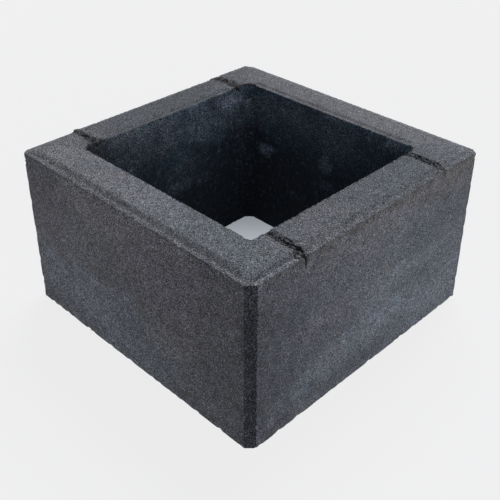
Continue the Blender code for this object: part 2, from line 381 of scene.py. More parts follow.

# Patches on the core's walls, with their places and reaches in space. The deep tints darken the
# core and are painted shade at its far corner, the shade tint is painted shade, and the teal on the
# two walls that the camera does not see lessens the core's painted shade there.
CORE_PATCHES = (
    ("damp_and_deep_shade", (-129, 125, 100), (40, 80, 120), 1.00),
    ("damp_and_deep_shade", (-110, 129, 92), (70, 30, 80), 0.95),
    ("damp_and_deep_shade", (-40, 129, 98), (120, 14, 60), 0.75),
    ("damp_and_deep_shade", (20, 129, 150), (200, 14, 200), 0.30),
    ("teal", (129, 0, 120), (16, 260, 260), 0.75),
    ("teal", (0, -129, 120), (260, 16, 260), 0.75),
    ("damp_and_deep_shade", (-129, -60, 128), (14, 70, 40), 0.60),
    ("damp_and_deep_shade", (-129, 70, 100), (14, 70, 50), 0.65),
    ("damp_and_deep_shade", (-129, -100, 175), (14, 60, 60), 0.55),
    ("damp_and_deep_shade", (-131, -118, 192), (30, 40, 40), 1.00),
    ("pale", (-129, -55, 180), (14, 100, 44), 0.40),
    ("painted_shade", (-129, -50, 170), (14, 110, 60), 0.16),
    ("scuff", (-129, 62, 172), (14, 90, 36), 0.70),
    ("lime", (-129, 92, 183), (14, 28, 10), 0.80),
    ("scuff", (-129, -35, 180), (14, 46, 18), 0.65),
    ("scuff", (-129, 15, 96), (14, 50, 13), 0.50),
    ("lime", (-101, 129, 112), (15, 14, 12), 0.75),
    ("lime", (-95, 129, 116), (14, 14, 11), 0.75),
    ("lime", (-88, 129, 118), (12, 14, 9), 0.60),
    ("lime", (3, 129, 131), (13, 14, 18), 0.80),
    ("lime", (6, 129, 100), (24, 14, 11), 0.50),
    ("lime", (-45, 129, 66), (17, 14, 8), 0.40),
    ("scuff", (-70, 129, 176), (90, 14, 26), 0.60),
    ("scuff", (10, 129, 165), (44, 14, 40), 0.60),
)


def length_setting(name, description, default):
    """A setting that is a length, with its default in mm."""
    return FloatProperty(name=name, description=description, default=default * MM, unit="LENGTH")


def colour_setting(name, description, default):
    """A setting that is a colour."""
    return FloatVectorProperty(
        name=name, description=description, default=default, subtype="COLOR", size=3, min=0.0, max=1.0)


class BlockSizes(bpy.types.PropertyGroup):
    """Sizes of the block's skin and of the wear on it."""

    face_step: length_setting("Face step", "Space between the skin's points on the plain faces", 4.2)
    row_step: length_setting("Row step", "Space between the rings across the top", 1.25)
    top_share: IntProperty(
        name="Top share", description="How many points of the top stand for one of the faces",
        default=3)
    bar_line: length_setting("Bar line", "Distance of each core bar's mark from the middle", 110)
    bar_reach: length_setting("Bar reach", "Half width of the finely meshed strip along a mark", 9)
    hub: length_setting("Hub", "Distance from the middle to the points that the corners fan round", 116)
    corner_cut: length_setting("Corner cut", "Leg of the flat cut down each outer corner", 8.5)
    wave: length_setting("Wave", "Depth of the slow unevenness of the faces", 0.16)
    grain: length_setting("Grain", "Depth of the grain that is meshed", 0.34)
    grain_size: length_setting("Grain size", "Width of the grain that is meshed", 3.0)
    pit: length_setting("Pit", "Depth of the deepest pits", 0.9)
    rounding: length_setting("Rounding", "How far every edge is worn back", 0.18)
    chip: length_setting("Chip", "How far the deepest chips bite into an edge", 2.0)
    crumb_size: length_setting("Crumb size", "Width of the rubble in the bar marks", 3.3)


class ConcreteLook(bpy.types.PropertyGroup):
    """Colours of the concrete, and of the shade painted on it."""

    body: colour_setting("Body", "The concrete's main colour", (0.101, 0.101, 0.114))
    bloom: colour_setting("Bloom", "Pale bluish lime bloom", (0.118, 0.136, 0.164))
    pale: colour_setting("Pale", "Small pale mottles", (0.128, 0.126, 0.136))
    damp: colour_setting("Damp", "Darker, denser patches", (0.060, 0.063, 0.075))
    brown: colour_setting("Brown", "Warm tint of the rubble in the bar marks", (0.078, 0.055, 0.054))
    mauve: colour_setting("Mauve", "Warmer patches with little bloom", (0.106, 0.101, 0.118))
    teal: colour_setting("Teal", "Cooler patches, a little darker", (0.080, 0.091, 0.102))
    lilac: colour_setting(
        "Lilac", "The thickest bloom on the faces, a little violet", (0.134, 0.142, 0.172))
    tan: colour_setting("Tan", "Brownish concrete below the right wall's far arris", (0.082, 0.075, 0.076))
    dust: colour_setting("Dust", "Pale grains along worn edges", (0.180, 0.180, 0.192))
    # Painted shade on the pressed edges' land and slope, on the corner cuts and on dim places of the faces
    # and the core; the pressed edge's concrete is also rougher and darker
    painted_shade: colour_setting(
        "Shade", "The rougher, darker concrete of the pressed edge", (0.030, 0.030, 0.034))
    # Painted shade: the core's concrete as a darker, bluer copy of the body, as it stands in bluish shade
    painted_core_shade: colour_setting("Cool", "The smooth, bluish concrete inside the core", (0.050, 0.079, 0.110))
    scuff: colour_setting("Scuff", "Paler scuffs and stains inside the core", (0.130, 0.155, 0.190))
    lime: colour_setting(
        "Lime", "The palest spots inside the core, where lime came out", (0.25, 0.28, 0.36))
    # Painted shade deep down in the core and at its far corner; it also darkens damper patches there
    damp_and_deep_shade: colour_setting("Deep", "The darkest, dampest concrete inside the core", (0.009, 0.013, 0.022))
    # Painted shade in the deep gaps, cracks and pits of the bar marks and on the crumbled ground beside
    # them
    crevice_shade: colour_setting("Crevice", "The dark depth of the bar marks", (0.010, 0.010, 0.012))


class StudioSetup(bpy.types.PropertyGroup):
    """The floor, the lamps and the camera."""

    floor_colour: colour_setting("Floor", "Colour of the floor", (0.72, 0.72, 0.725))
    backdrop: colour_setting("Backdrop", "What the camera sees past the floor", (0.871, 0.871, 0.879))
    # Painted shade: the glow of the floor where it shows through the core, darker and cooler than the
    # backdrop
    core_floor: colour_setting(
        "Floor in the core", "The shaded floor that shows through the core", (0.310, 0.334, 0.362))
    ambient: colour_setting("Ambient", "Light from all round", (0.052, 0.083, 0.135))
    focal: FloatProperty(
        name="Focal length", description="Focal length in mm on a 36 mm sensor",
        default=59.64)
    azimuth: FloatProperty(
        name="Azimuth", description="Where the camera stands round the block",
        default=math.radians(45.04), unit="ROTATION")
    elevation: FloatProperty(
        name="Elevation", description="How far the camera looks down",
        default=math.radians(31.19), unit="ROTATION")
    distance: FloatProperty(
        name="Distance", description="From the camera to the point that it looks at",
        default=0.9648, unit="LENGTH")
    target: FloatVectorProperty(
        name="Target", description="The point that the camera looks at",
        default=(-0.01213, 0.00554, 0.12017), subtype="XYZ", unit="LENGTH", size=3)
    shift: FloatVectorProperty(
        name="Shift", description="How far the view is shifted sideways and up, in frame widths",
        default=(0.0088, -0.0931), size=2)


class SolidReader:
    """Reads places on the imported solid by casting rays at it."""

    def __init__(self, node):
        mesh = node.data
        self.tree = BVHTree.FromPolygons(
            [v.co for v in mesh.vertices], [p.vertices for p in mesh.polygons])

    def height(self, x, y):
        """The height at which a ray from above meets the solid."""
        hit = self.tree.ray_cast(Vector((x, y, ABOVE)), Vector((0, 0, -1)))[0]
        if hit is None:
            raise RuntimeError(f"no solid below {x:.4f}, {y:.4f}")
        return hit.z

    def outer(self, centre, way, z):
        """How far from the centre the outer face lies, looking along a level direction."""
        start = Vector((*centre, z)) + Vector((*way, 0)) * HALF
        hit = self.tree.ray_cast(start, Vector((*-way, 0)))[0]
        return (hit.xy - Vector(centre)).length

    def inner(self, centre, way, z):
        """How far from the centre the core's face lies, looking along a level direction."""
        hit = self.tree.ray_cast(Vector((*centre, z)), Vector((*way, 0)))[0]
        return (hit.xy - Vector(centre)).length


def graded(stops):
    """Places between the stops, each stop giving where it is and the step up to the next one."""
    places = []
    for (start, step), (end, _) in zip(stops, stops[1:]):
        count = max(1, round((end - start) / step))
        places.extend(np.linspace(start, end, count, endpoint=False))
    return places


def side_places(sizes, has_marks):
    """Places along one side of the block, from corner to corner, closer at edges and marks."""
    cut = HALF - sizes.corner_cut
    left = [(-HALF, CUT_STEP), (-cut - CUT_EDGE, CUT_EDGE), (-cut + CUT_EDGE, sizes.face_step)]
    right = [(cut - CUT_EDGE, CUT_EDGE), (cut + CUT_EDGE, CUT_STEP), (HALF, 0)]
    marks = []
    if has_marks:
        bar = sizes.bar_line
        reach = sizes.bar_reach
        fine = sizes.face_step / 2
        marks = [(-bar - reach, fine), (-bar + reach, sizes.face_step),
                 (bar - reach, fine), (bar + reach, sizes.face_step)]
    return graded(left + marks + right)


def ring_stations(sizes):
    """Points of the block's outline in plan that the coarse rings' stations look at."""
    points = []
    for side in range(4):
        turn = Matrix.Rotation(side * math.pi / 2, 2)
        for place in side_places(sizes, side in MARKED_SIDES):
            points.append(turn @ Vector((place, -HALF)))
    return points


def split(points, share):
    """Closed run of points with each span cut into equal shares."""
    whole = []
    for point, after in zip(points, points[1:] + points[:1]):
        for step in range(share):
            whole.append(point.lerp(after, step / share))
    return whole


class Ring:
    """One closed ring of the skin, with what is known of each of its points."""

    def __init__(self, points, fine, zone, edge, outside):
        self.points = points
        self.fine = fine
        self.zone = zone
        self.edge = edge
        self.outside = outside


class Skin:
    """The block's skin, ring by ring, from the base up the outer face and down the core."""

    def __init__(self, solid, sizes):
        self.solid = solid
        self.sizes = sizes
        coarse = ring_stations(sizes)
        fine = split(coarse, sizes.top_share)
        self.coarse = [self.station(point) for point in coarse]
        self.fine = [self.station(point) for point in fine]
        self.rings = []
        self.outside = True
        self.read_edges()
        self.outer_rings()
        self.top_rings()
        self.core_rings()
        self.base_rings()

    def station(self, point):
        """The centre and the direction of the station that looks at a point of the outline."""
        hub = self.sizes.hub
        centre = Vector((max(-hub, min(hub, point.x)), max(-hub, min(hub, point.y))))
        return centre, (point - centre).normalized()

    def read_edges(self):
        """Finds the arris and the core's upper edge at every fine station."""
        middle = TOP / 2
        self.arris = []
        self.rim = []
        for centre, way in self.fine:
            far = self.solid.outer(centre, way, middle)
            flat = centre + way * (far - GRAB)
            self.arris.append((far, self.solid.height(*flat)))
            near = self.solid.inner(centre, way, RIM_READ)
            flat = centre + way * (near + RIM_GRAB)
            self.rim.append((near, self.solid.height(*flat)))

    def pick(self, values, fine):
        """The values at the fine stations, or only those at the coarse ones."""
        return values if fine else values[::self.sizes.top_share]

    def add(self, fine, zone, edge, place):
        """Adds a ring: place gives each station's point."""
        stations = self.fine if fine else self.coarse
        arris = self.pick(self.arris, fine)
        rim = self.pick(self.rim, fine)
        points = [place(*row) for row in zip(stations, arris, rim)]
        self.rings.append(Ring(points, fine, zone, edge, self.outside))

    def outer_rings(self):
        """Rings up the outer face, coarse at first and fine below the arris."""
        solid = self.solid

        def on_face(height):
            def place(station, arris, rim):
                centre, way = station
                z = height(arris[1])
                far = solid.outer(centre, way, z)
                return (*(centre + way * far), z)
            return place

        count = round((TOP - ARRIS_BAND) / (self.sizes.face_step * OUTER_SPACING))
        for share in (*FOOT_SHARES, *np.linspace(FIRST_SHARE, 1.0, count)):
            edge = share * (TOP - ARRIS_BAND)
            self.add(False, "outer", edge, on_face(lambda top, s=share: FOOT + s * (top - ARRIS_BAND)))
        for drop in reversed(ARRIS_ROWS):
            self.add(True, "outer", drop * MM, on_face(lambda top, d=drop: top - d * MM))

    def top_rings(self):
        """Rings across the top, from the arris to the core's edge."""
        solid = self.solid

        def across(reach):
            def place(station, arris, rim):
                centre, way = station
                flat = centre + way * reach(arris[0], rim[0])
                return (*flat, solid.height(*flat))
            return place

        self.add(True, "arris", 0.0, lambda s, a, r: (*(s[0] + s[1] * a[0]), a[1]))
        for inset in TOP_OUTER_ROWS:
            self.add(True, "top", inset * MM, across(lambda far, near, d=inset: far - d * MM))
        self.outside = False
        first = TOP_OUTER_ROWS[-1] * MM
        last = TOP_INNER_ROWS[0] * MM
        count = round((WALL * MM - first - last) / self.sizes.row_step)
        for share in np.linspace(0.0, 1.0, count + 1)[1:-1]:
            self.add(True, "top", BED_EDGE, across(
                lambda far, near, t=share: (far - first) * (1 - t) + (near + last) * t))
        for inset in TOP_INNER_ROWS:
            self.add(True, "top", inset * MM, across(lambda far, near, d=inset: near + d * MM))
        self.add(True, "rim", 0.0, lambda s, a, r: (*(s[0] + s[1] * r[0]), r[1]))

    def core_rings(self):
        """Rings down the core's face, fine at first and coarse below."""
        solid = self.solid

        def on_wall(height):
            def place(station, arris, rim):
                centre, way = station
                z = height(rim[1])
                near = solid.inner(centre, way, z)
                return (*(centre + way * near), z)
            return place

        for drop in CORE_ROWS:
            self.add(True, "core", drop * MM, on_wall(lambda top, d=drop: top - d * MM))
        count = round((TOP - RIM_BAND) / (self.sizes.face_step * CORE_SPACING))
        for share in (*np.linspace(1.0, FIRST_SHARE, count), *reversed(FOOT_SHARES)):
            edge = share * (TOP - RIM_BAND)
            self.add(False, "core", edge, on_wall(lambda top, s=share: FOOT + s * (top - RIM_BAND)))

    def base_rings(self):
        """Rings across the base, from the core to the outer face."""
        solid = self.solid

        def across(share):
            def place(station, arris, rim):
                centre, way = station
                near = solid.inner(centre, way, FOOT)
                return (*(centre + way * (near * (1 - share) + arris[0] * share)), 0.0)
            return place

        for row in BASE_ROWS:
            self.add(False, "base", min(row, WALL - row) * MM, across(row / WALL))

    def faces(self):
        """Faces between each ring and the next, with spans that split where a ring is finer."""
        starts = np.cumsum([0] + [len(ring.points) for ring in self.rings])
        share = self.sizes.top_share
        faces = []
        for number, ring in enumerate(self.rings):
            after = (number + 1) % len(self.rings)
            a, b = int(starts[number]), int(starts[after])
            other = self.rings[after]
            count, more = len(ring.points), len(other.points)
            if count == more:
                for i in range(count):
                    j = (i + 1) % count
                    faces.append((a + i, a + j, b + j, b + i))
            elif count < more:
                for i in range(count):
                    fine = [b + (i * share + k) % more for k in range(share + 1)]
                    faces.extend(fan(a + i, a + (i + 1) % count, fine, False))
            else:
                for i in range(more):
                    fine = [a + (i * share + k) % count for k in range(share + 1)]
                    faces.extend(fan(b + i, b + (i + 1) % more, fine, True))
        return faces


def fan(left, right, fine, turned):
    """Faces between one coarse span and the fine run of points that faces it."""
    half = len(fine) // 2
    faces = [(left, fine[k + 1], fine[k]) for k in range(half - 1)]
    faces.append((left, right, fine[half], fine[half - 1]))
    faces.extend((right, fine[k + 1], fine[k]) for k in range(half, len(fine) - 1))
    return [tuple(reversed(face)) for face in faces] if turned else faces


def skin_mesh(skin):
    """The mesh of the skin, before it is worn."""
    points = [point for ring in skin.rings for point in ring.points]
    mesh = bpy.data.meshes.new("fence_block_skin")
    mesh.from_pydata(points, [], skin.faces())
    mesh.update()
    return mesh


def scattered(points, size, seed):
    """Smooth noise from -1 to 1 at each point, with lumps of the given size."""
    shift = Vector((seed * 17.3, seed * 5.1, seed * 9.7))
    return np.array([noise.noise(Vector(p) / size + shift) for p in points])


def cells(points, size, seed):
    """Distances to the nearest two cell centres at each point, and a random value of the cell."""
    shift = Vector((seed * 17.3, seed * 5.1, seed * 9.7))
    first, second, chance = [], [], []
    for point in points:
        distances, centres = noise.voronoi(Vector(point) / size + shift)
        first.append(distances[0])
        second.append(distances[1])
        chance.append(noise.cell(centres[0] * 7.7))
    return np.array(first), np.array(second), np.array(chance)


def smooth(low, high, values):
    """0 below low, 1 above high, and a soft step between."""
    share = np.clip((values - low) / (high - low), 0.0, 1.0)
    return share * share * (3.0 - 2.0 * share)


def spread(skin, value):
    """A value of each ring, given to each of its points."""
    return np.concatenate([[value(ring)] * len(ring.points) for ring in skin.rings])


def mark_depths(skin, sizes):
    """How deep the bars dug at each point, and how far it lies off the middle of its mark.

    The second counts towards the block's middle, and is 1 m away from the marks.
    """
    depths, offsets = [], []
    window = sizes.bar_reach * MARK_WINDOW
    for ring in skin.rings:
        co = np.array(ring.points)
        depth = np.zeros(len(co))
        offset = np.ones(len(co))
        digs = ring.zone in TOP_ZONES or (ring.zone == "outer" and ring.fine)
        for side, bar in MARKS if digs else ():
            line = bar * sizes.bar_line
            inside = (np.abs(co[:, 1] - line) < window) & (co[:, 0] * side > sizes.hub)
            order = np.flatnonzero(inside)
            order = order[np.argsort(co[order, 1])]
            y = co[order, 1]
            level = np.abs(co[order, 0]) if ring.zone == "outer" else co[order, 2]
            whole = np.interp(y, [y[0], y[-1]], [level[0], level[-1]])
            dug = np.maximum(0.0, whole - level)
            depth[order] = dug
            if dug.sum() > LEAST_DIP:
                offset[order] = (y - np.average(y, weights=dug)) * -bar
        depths.append(depth)
        offsets.append(offset)
    return np.concatenate(depths), np.concatenate(offsets)


def crack_share(co):
    """How far inside the cracks and pits along the marks each point lies, from 0 beside them to 1."""
    share = np.zeros(len(co))
    for (side, bar), mark in MARKS.items():
        along, across = co[:, 0] * side, co[:, 1] * bar
        near = (along > MARK_FROM) & (across > MARK_ACROSS[0]) & (across < MARK_ACROSS[1])
        mine = np.flatnonzero(near)
        x, y = np.abs(co[mine, 0]) / MM, np.abs(co[mine, 1]) / MM
        sway = 0.8 * scattered(co[mine], 4 * MM, 13) + 0.5 * scattered(co[mine], 1.8 * MM, 14)
        swell = 1.0 + 0.6 * scattered(co[mine], 5 * MM, 9)
        found = np.zeros(len(mine))
        for crack in mark["cracks"]:
            places, middles, halves = np.array(crack).T
            away = np.abs(y - np.interp(x, places, middles) + sway)
            past = np.maximum(0.0, np.maximum(places[0] - x, x - places[-1]))
            half = np.maximum(LEAST_HALF, np.interp(x, places, halves) * swell)
            found = np.maximum(found, smooth(*CRACK_BORDER, (away + past) / half))
        for place, middle, radius in mark["pits"]:
            away = np.hypot(x - place, y - middle) / radius
            found = np.maximum(found, PIT_SHARE * smooth(*PIT_BORDER, away / swell + 0.3 * sway))
        share[mine] = found
    return share


def along_marks(co, key):
    """For points in the marks, the value that their mark has under a key at their place."""
    values = []
    for x, y, _ in co:
        value = MARKS[1 if x > 0 else -1, 1 if y > 0 else -1][key]
        values.append(np.interp(abs(x), MARK_STOPS, value) if isinstance(value, tuple) else value)
    return np.array(values)


def read_points(mesh):
    """The mesh's points and their normals, a row for each."""
    count = len(mesh.vertices)
    co = np.empty(count * 3)
    mesh.vertices.foreach_get("co", co)
    normals = np.empty(count * 3, np.float32)
    mesh.vertex_normals.foreach_get("vector", normals)
    return co.reshape(-1, 3), normals.reshape(-1, 3).astype(float)


def surface_wear(co, skin, sizes):
    """How far the waves, the grain and the pits move each point inwards."""
    fine = spread(skin, lambda ring: ring.fine)
    inward = sizes.wave * (0.5 + 0.5 * scattered(co, WAVE_SIZE, 1))
    inward += np.where(fine, 0.0, sizes.wave * (0.5 + 0.5 * scattered(co, RIPPLE_SIZE, 2)))

    picked = np.flatnonzero(fine)
    grains = 0.5 + 0.5 * scattered(co[picked], sizes.grain_size, 3)
    specks = 0.5 + 0.5 * scattered(co[picked], sizes.grain_size / 2, 4)
    inward[picked] += sizes.grain * (0.65 * grains + 0.35 * specks)

    first, _, chance = cells(co[picked], PIT_SPACING, 5)
    radius = 0.10 + 0.16 * chance
    inward[picked] += sizes.pit * (chance > 0.55) * chance * smooth(1.0, 0.2, first / radius)
    return inward


def edge_wear(co, skin, sizes):
    """How far the rounding and the chips move each point inwards."""
    edge = spread(skin, lambda ring: ring.edge)
    outside = spread(skin, lambda ring: ring.outside)
    bites = scattered(co, CHIP_SIZE, 6) + 1.4 * scattered(co, CHIP_SIZE / 2, 7)
    bites = np.clip(bites - 0.10, 0.0, 1.0)
    hard = np.where(outside, OUTER_BITES[0], CORE_BITES[0])
    weak = np.where(outside, OUTER_BITES[1], CORE_BITES[1])
    bites *= np.where(co[:, 2] < BASE_BAND, weak, hard)
    corner = np.abs(co[:, 0]) + np.abs(co[:, 1]) > 2 * HALF - sizes.corner_cut - CORNER_BAND
    reach = np.maximum(np.exp(-edge / CHIP_REACH), CORNER_CHIPS * corner)
    return sizes.rounding * np.exp(-edge / ROUND_REACH) + sizes.chip * bites * reach


def rubble_fill(co, packed, open_crack, sizes):
    """How full of rubble a mark is at each point, and how open the gap between lumps is there."""
    first, second, chance = cells(co, sizes.crumb_size, 8)
    gap = smooth(0.55, 0.12, second - first)
    gap *= 1.0 - 0.45 * packed
    lumps = 0.25 * scattered(co, 2.2 * MM, 10)
    fill = np.clip(packed + 0.25 * chance + lumps, 0.0, 1.0)
    return fill * (1.0 - GAP_OPEN * gap) * (1.0 - CRACK_OPEN * open_crack), gap


def crumbled_share(co, offset):
    """How thickly crumbs lie beside a mark at each point, and how far the surface crumbles."""
    spill = along_marks(co, "spill") * np.exp(-(offset / SPILL_REACH) ** 2)
    spill = np.minimum(spill, 1.0)
    lumps = scattered(co, 3.0 * MM, 11) + 0.6 * scattered(co, 1.6 * MM, 12)
    return spill, spill * smooth(0.0, 0.4, lumps)


def wear(mesh, skin, sizes):
    """Moves the skin's points inwards by all its wear, and stores the painted shade in the marks' depths
    and the brown of their rubble.
    """
    co, normals = read_points(mesh)
    count = len(co)
    zones = spread(skin, lambda ring: ring.zone)
    inward = surface_wear(co, skin, sizes) + edge_wear(co, skin, sizes)

    depth, offset = mark_depths(skin, sizes)
    marked = np.flatnonzero(depth > LEAST_DEPTH)
    dug = depth[marked]
    cracked = crack_share(co) * np.isin(zones, TOP_ZONES)
    packed = along_marks(co[marked], "packed")
    fill, gap = rubble_fill(co[marked], packed, cracked[marked], sizes)
    fill = np.where(zones[marked] == "outer", packed, fill)
    inward[marked] -= dug * fill
    left = np.zeros(count)
    left[marked] = dug * (1.0 - fill)
    inward += np.maximum(0.0, CRACK_DEPTH * cracked - left)
    inward[zones == "base"] = 0.0
    co -= normals * inward[:, None]
    co[:, :2] = np.clip(co[:, :2], -HALF, HALF)
    co[:, 2] = np.clip(co[:, 2], 0.0, TOP)

    beside = np.flatnonzero(np.abs(offset) < sizes.bar_reach)
    spill, crumbled = crumbled_share(co[beside], offset[beside])
    co[beside] -= normals[beside] * crumbled[:, None] * CRUMBLE_DEPTH
    mesh.vertices.foreach_set("co", co.ravel())
    mesh.update()

    # Painted shade in the marks' deep gaps, cracks and pits, and on the crumbled ground beside them
    crevice_shade = np.zeros(count)
    crevice_shade[marked] = np.maximum(smooth(0.6 * MM, 2.2 * MM, left[marked]),
                                 0.7 * gap * smooth(0.6 * MM, 1.6 * MM, dug))
    crevice_shade = np.maximum(crevice_shade, cracked)
    crevice_shade[beside] = np.maximum(crevice_shade[beside], 0.75 * crumbled)
    rubble = np.zeros(count)
    rubble[beside] = 0.6 * along_marks(co[beside], "brown") * spill
    brown = along_marks(co[marked], "brown") * smooth(0.3 * MM, 1.2 * MM, dug)
    rubble[marked] = np.maximum(rubble[marked], brown)
    put_mask(mesh, "crevice_shade", crevice_shade)
    put_mask(mesh, "rubble", rubble)
    put_mask(mesh, "core", (zones == "core").astype(float))
    put_mask(mesh, "bed", np.isin(zones, TOP_ZONES).astype(float))


def put_ledge(mesh, skin, sizes):
    """Stores the painted shade on each wall's pressed land and slope, the darkening of its flat top, and
    how much dust its land bears.
    """
    painted_shade, dust = [], []
    for ring in skin.rings:
        on_top = ring.zone in TOP_ZONES
        flat = float(smooth(*SLOPE_TO_BED, ring.edge)) if ring.outside else 1.0
        slope = float(smooth(*LAND_TO_SLOPE, ring.edge))
        dusty = on_top * (1 - flat) * (1 - slope)
        for (_, way), point in zip(skin.fine if ring.fine else skin.coarse, ring.points):
            tone = powder = 0.0
            for wall, values in LEDGES.items():
                near_end = wall == (1, 0) and point[1] < -sizes.bar_line
                land, bank, bed, grains = NEAR_END if near_end else values
                share = max(0.0, way.dot(Vector(wall))) ** 2
                ledge = land * (1 - slope) + bank * slope
                tone += share * (ledge * (1 - flat) + bed * flat)
                powder += share * grains
            painted_shade.append(tone * on_top)
            dust.append(powder * dusty)
    put_mask(mesh, "ledge", np.array(painted_shade))
    put_mask(mesh, "edge", np.array(dust))


def put_rough(mesh, skin):
    """Stores how coarse the grain is from zone to zone."""
    values = []
    for ring in skin.rings:
        level = ROUGHNESS[ring.zone]
        at_edge = ring.outside and ring.zone in TOP_ZONES and ring.edge < PRESSED_REACH
        pressed = PRESSED_GRAIN if at_edge else 1.0
        for _, way in (skin.fine if ring.fine else skin.coarse):
            facing = way.y ** 2
            values.append(pressed * (level[0] * (1 - facing) + level[1 if way.y < 0 else 2] * facing))
    put_mask(mesh, "rough", np.array(values))


def put_cut(mesh, skin, sizes):
    """Stores where the flat cuts down the corners are."""
    values = []
    limit = HALF * 2 - sizes.corner_cut
    for ring in skin.rings:
        co = np.abs(np.array(ring.points))
        inside = ring.zone == "outer"
        values.append(inside * smooth(limit - 0.9 * MM, limit - 0.1 * MM, co[:, 0] + co[:, 1]))
    put_mask(mesh, "cut", np.concatenate(values))


class Mark:
    """The trench that one bar left across a wall, read off the solid on a grid."""

    def __init__(self, solid, sizes, side, bar):
        self.side = side
        self.bar = bar
        line = bar * sizes.bar_line
        reach = sizes.bar_reach * MARK_WINDOW
        self.along = np.arange(MARK_STOPS[0], HALF - GRID_END, GRID_STEP)
        self.across = np.linspace(line - reach, line + reach, GRID_COLUMNS)
        self.level, self.dug = [], []
        for x in self.along:
            heights = np.array([solid.height(side * x, y) for y in self.across])
            level = np.interp(self.across, self.across[[0, -1]], heights[[0, -1]])
            dug = np.maximum(0.0, level - heights)
            self.level.append(level)
            self.dug.append(dug)

    def at(self, x, y):
        """The level of the pressed surface and the depth of the trench below it."""
        i = int(np.clip(round((x - self.along[0]) / GRID_STEP), 0, len(self.along) - 1))
        level = np.interp(y, self.across, self.level[i])
        dug = np.interp(y, self.across, self.dug[i])
        return level, dug

    def crumbs(self, chances):
        """Places and half widths of the crumbs that lie in the trench."""
        found = []
        cover = MARKS[self.side, self.bar]["crumbs"]
        for _ in range(CRUMB_TRIES):
            x = chances.uniform(self.along[0] - 1.0 * MM, self.along[-1] + 0.5 * MM)
            y = chances.uniform(self.across[0], self.across[-1])
            half = chances.triangular(*CRUMB_HALVES) * MM
            level, dug = self.at(x, y)
            share = np.interp(x, MARK_STOPS, cover)
            cracked = crack_share(np.array([[self.side * x, y, level]]))[0]
            if dug < CRUMB_TRENCH or cracked > 0.2 or chances.random() > share:
                continue
            z = level - half * chances.uniform(*CRUMB_SINK)
            here = Vector((self.side * x, y, z))
            if all((here - other).length > CRUMB_SPACE * (half + wide) for other, wide in found):
                found.append((here, half))
        return found


def crumb_mesh(crumbs, chances):
    """One mesh of angular crumbs, each its own closed shell."""
    ball = bmesh.new()
    bmesh.ops.create_icosphere(ball, subdivisions=2, radius=1.0)
    shape = [v.co.copy() for v in ball.verts]
    sides = [[v.index for v in face.verts] for face in ball.faces]
    ball.free()
    points, faces = [], []
    for centre, half in crumbs:
        turn = Euler([chances.uniform(0, math.tau) for _ in range(3)]).to_matrix()
        shift = Vector([chances.uniform(0, 90) for _ in range(3)])
        squash = Vector((1.0, *(chances.uniform(*flat) for flat in CRUMB_FLAT)))
        first = len(points)
        for corner in shape:
            swell = 1.0 + CRUMB_LUMPS * noise.noise(corner * 1.3 + shift)
            point = centre + turn @ (corner * squash) * half * swell
            point.x = max(-HALF, min(HALF, point.x))
            point.z = min(point.z, TOP - 0.1 * MM)
            points.append(point)
        faces.extend([first + i for i in side] for side in sides)
    mesh = bpy.data.meshes.new("mark_crumbs")
    mesh.from_pydata(points, [], faces)
    mesh.update()
    put_mask(mesh, "rough", np.full(len(points), CRUMB_GRAIN))
    brown = along_marks([centre for centre, _ in crumbs], "brown")
    put_mask(mesh, "rubble", np.repeat(brown, len(shape)))
    tone = np.repeat([chances.uniform(*CRUMB_TONE) for _ in crumbs], len(shape))
    put_mask(mesh, "ledge", np.maximum(0.0, tone))
    return mesh


def put_mask(mesh, name, values):
    """Stores a value for each of the mesh's points, for the material to read."""
    layer = mesh.attributes.new(name, "FLOAT", "POINT")
    layer.data.foreach_set("value", values.astype(np.float32))


class NodeTree:
    """Adds nodes to a shader tree from left to right."""

    def __init__(self, tree):
        self.tree = tree
        self.count = 0

    def node(self, kind, **settings):
        """Adds a node with its settings."""
        node = self.tree.nodes.new(kind)
        node.location = (self.count * 190, 0)
        self.count += 1
        for name, value in settings.items():
            setattr(node, name, value)
        return node

    def put(self, socket, value):
        """Links a socket to a value that comes from a node, or sets it to a plain one."""
        if isinstance(value, bpy.types.NodeSocket):
            self.tree.links.new(value, socket)
        else:
            socket.default_value = value

    def feed(self, node, *ordered, **named):
        """Feeds a node's inputs in their order, or by name with underscores for spaces."""
        for socket, value in zip(node.inputs, ordered):
            self.put(socket, value)
        for name, value in named.items():
            self.put(node.inputs[name.replace("_", " ")], value)

    def math(self, operation, a, b=0.0):
        """A Math node's result."""
        node = self.node("ShaderNodeMath", operation=operation)
        self.feed(node, a, b)
        return node.outputs[0]

    def mix(self, share, a, b, blend="MIX"):
        """A colour Mix node's result."""
        node = self.node("ShaderNodeMix", data_type="RGBA", blend_type=blend)
        factor = node.inputs[0]
        first, second = [socket for socket in node.inputs if socket.type == "RGBA"]
        for socket, value in ((factor, share), (first, a), (second, b)):
            self.put(socket, value)
        return node.outputs[2]

    def step(self, value, low, high, to_low=0.0, to_high=1.0):
        """A soft step from low to high."""
        node = self.node("ShaderNodeMapRange", interpolation_type="SMOOTHSTEP")
        self.feed(node, Value=value, From_Min=low, From_Max=high, To_Min=to_low, To_Max=to_high)
        return node.outputs[0]

    def noise(self, vector, scale, detail, roughness, distortion=0.0):
        """A noise texture's value, with so many lumps to a metre."""
        node = self.node("ShaderNodeTexNoise")
        self.feed(node, Vector=vector, Scale=scale, Detail=detail, Roughness=roughness,
                  Distortion=distortion)
        return node.outputs[0]

    def mask(self, name):
        """A mask stored on the mesh."""
        node = self.node("ShaderNodeAttribute", attribute_type="GEOMETRY", attribute_name=name)
        return node.outputs["Fac"]

    def parts(self, vector):
        """A vector's three parts, by their letters."""
        node = self.node("ShaderNodeSeparateXYZ")
        self.feed(node, Vector=vector)
        return node.outputs

    def place_group(self, tree, **values):
        """Puts a group in the tree with its own values, and gives its outputs."""
        node = self.node("ShaderNodeGroup", node_tree=tree)
        self.feed(node, **values)
        return node.outputs


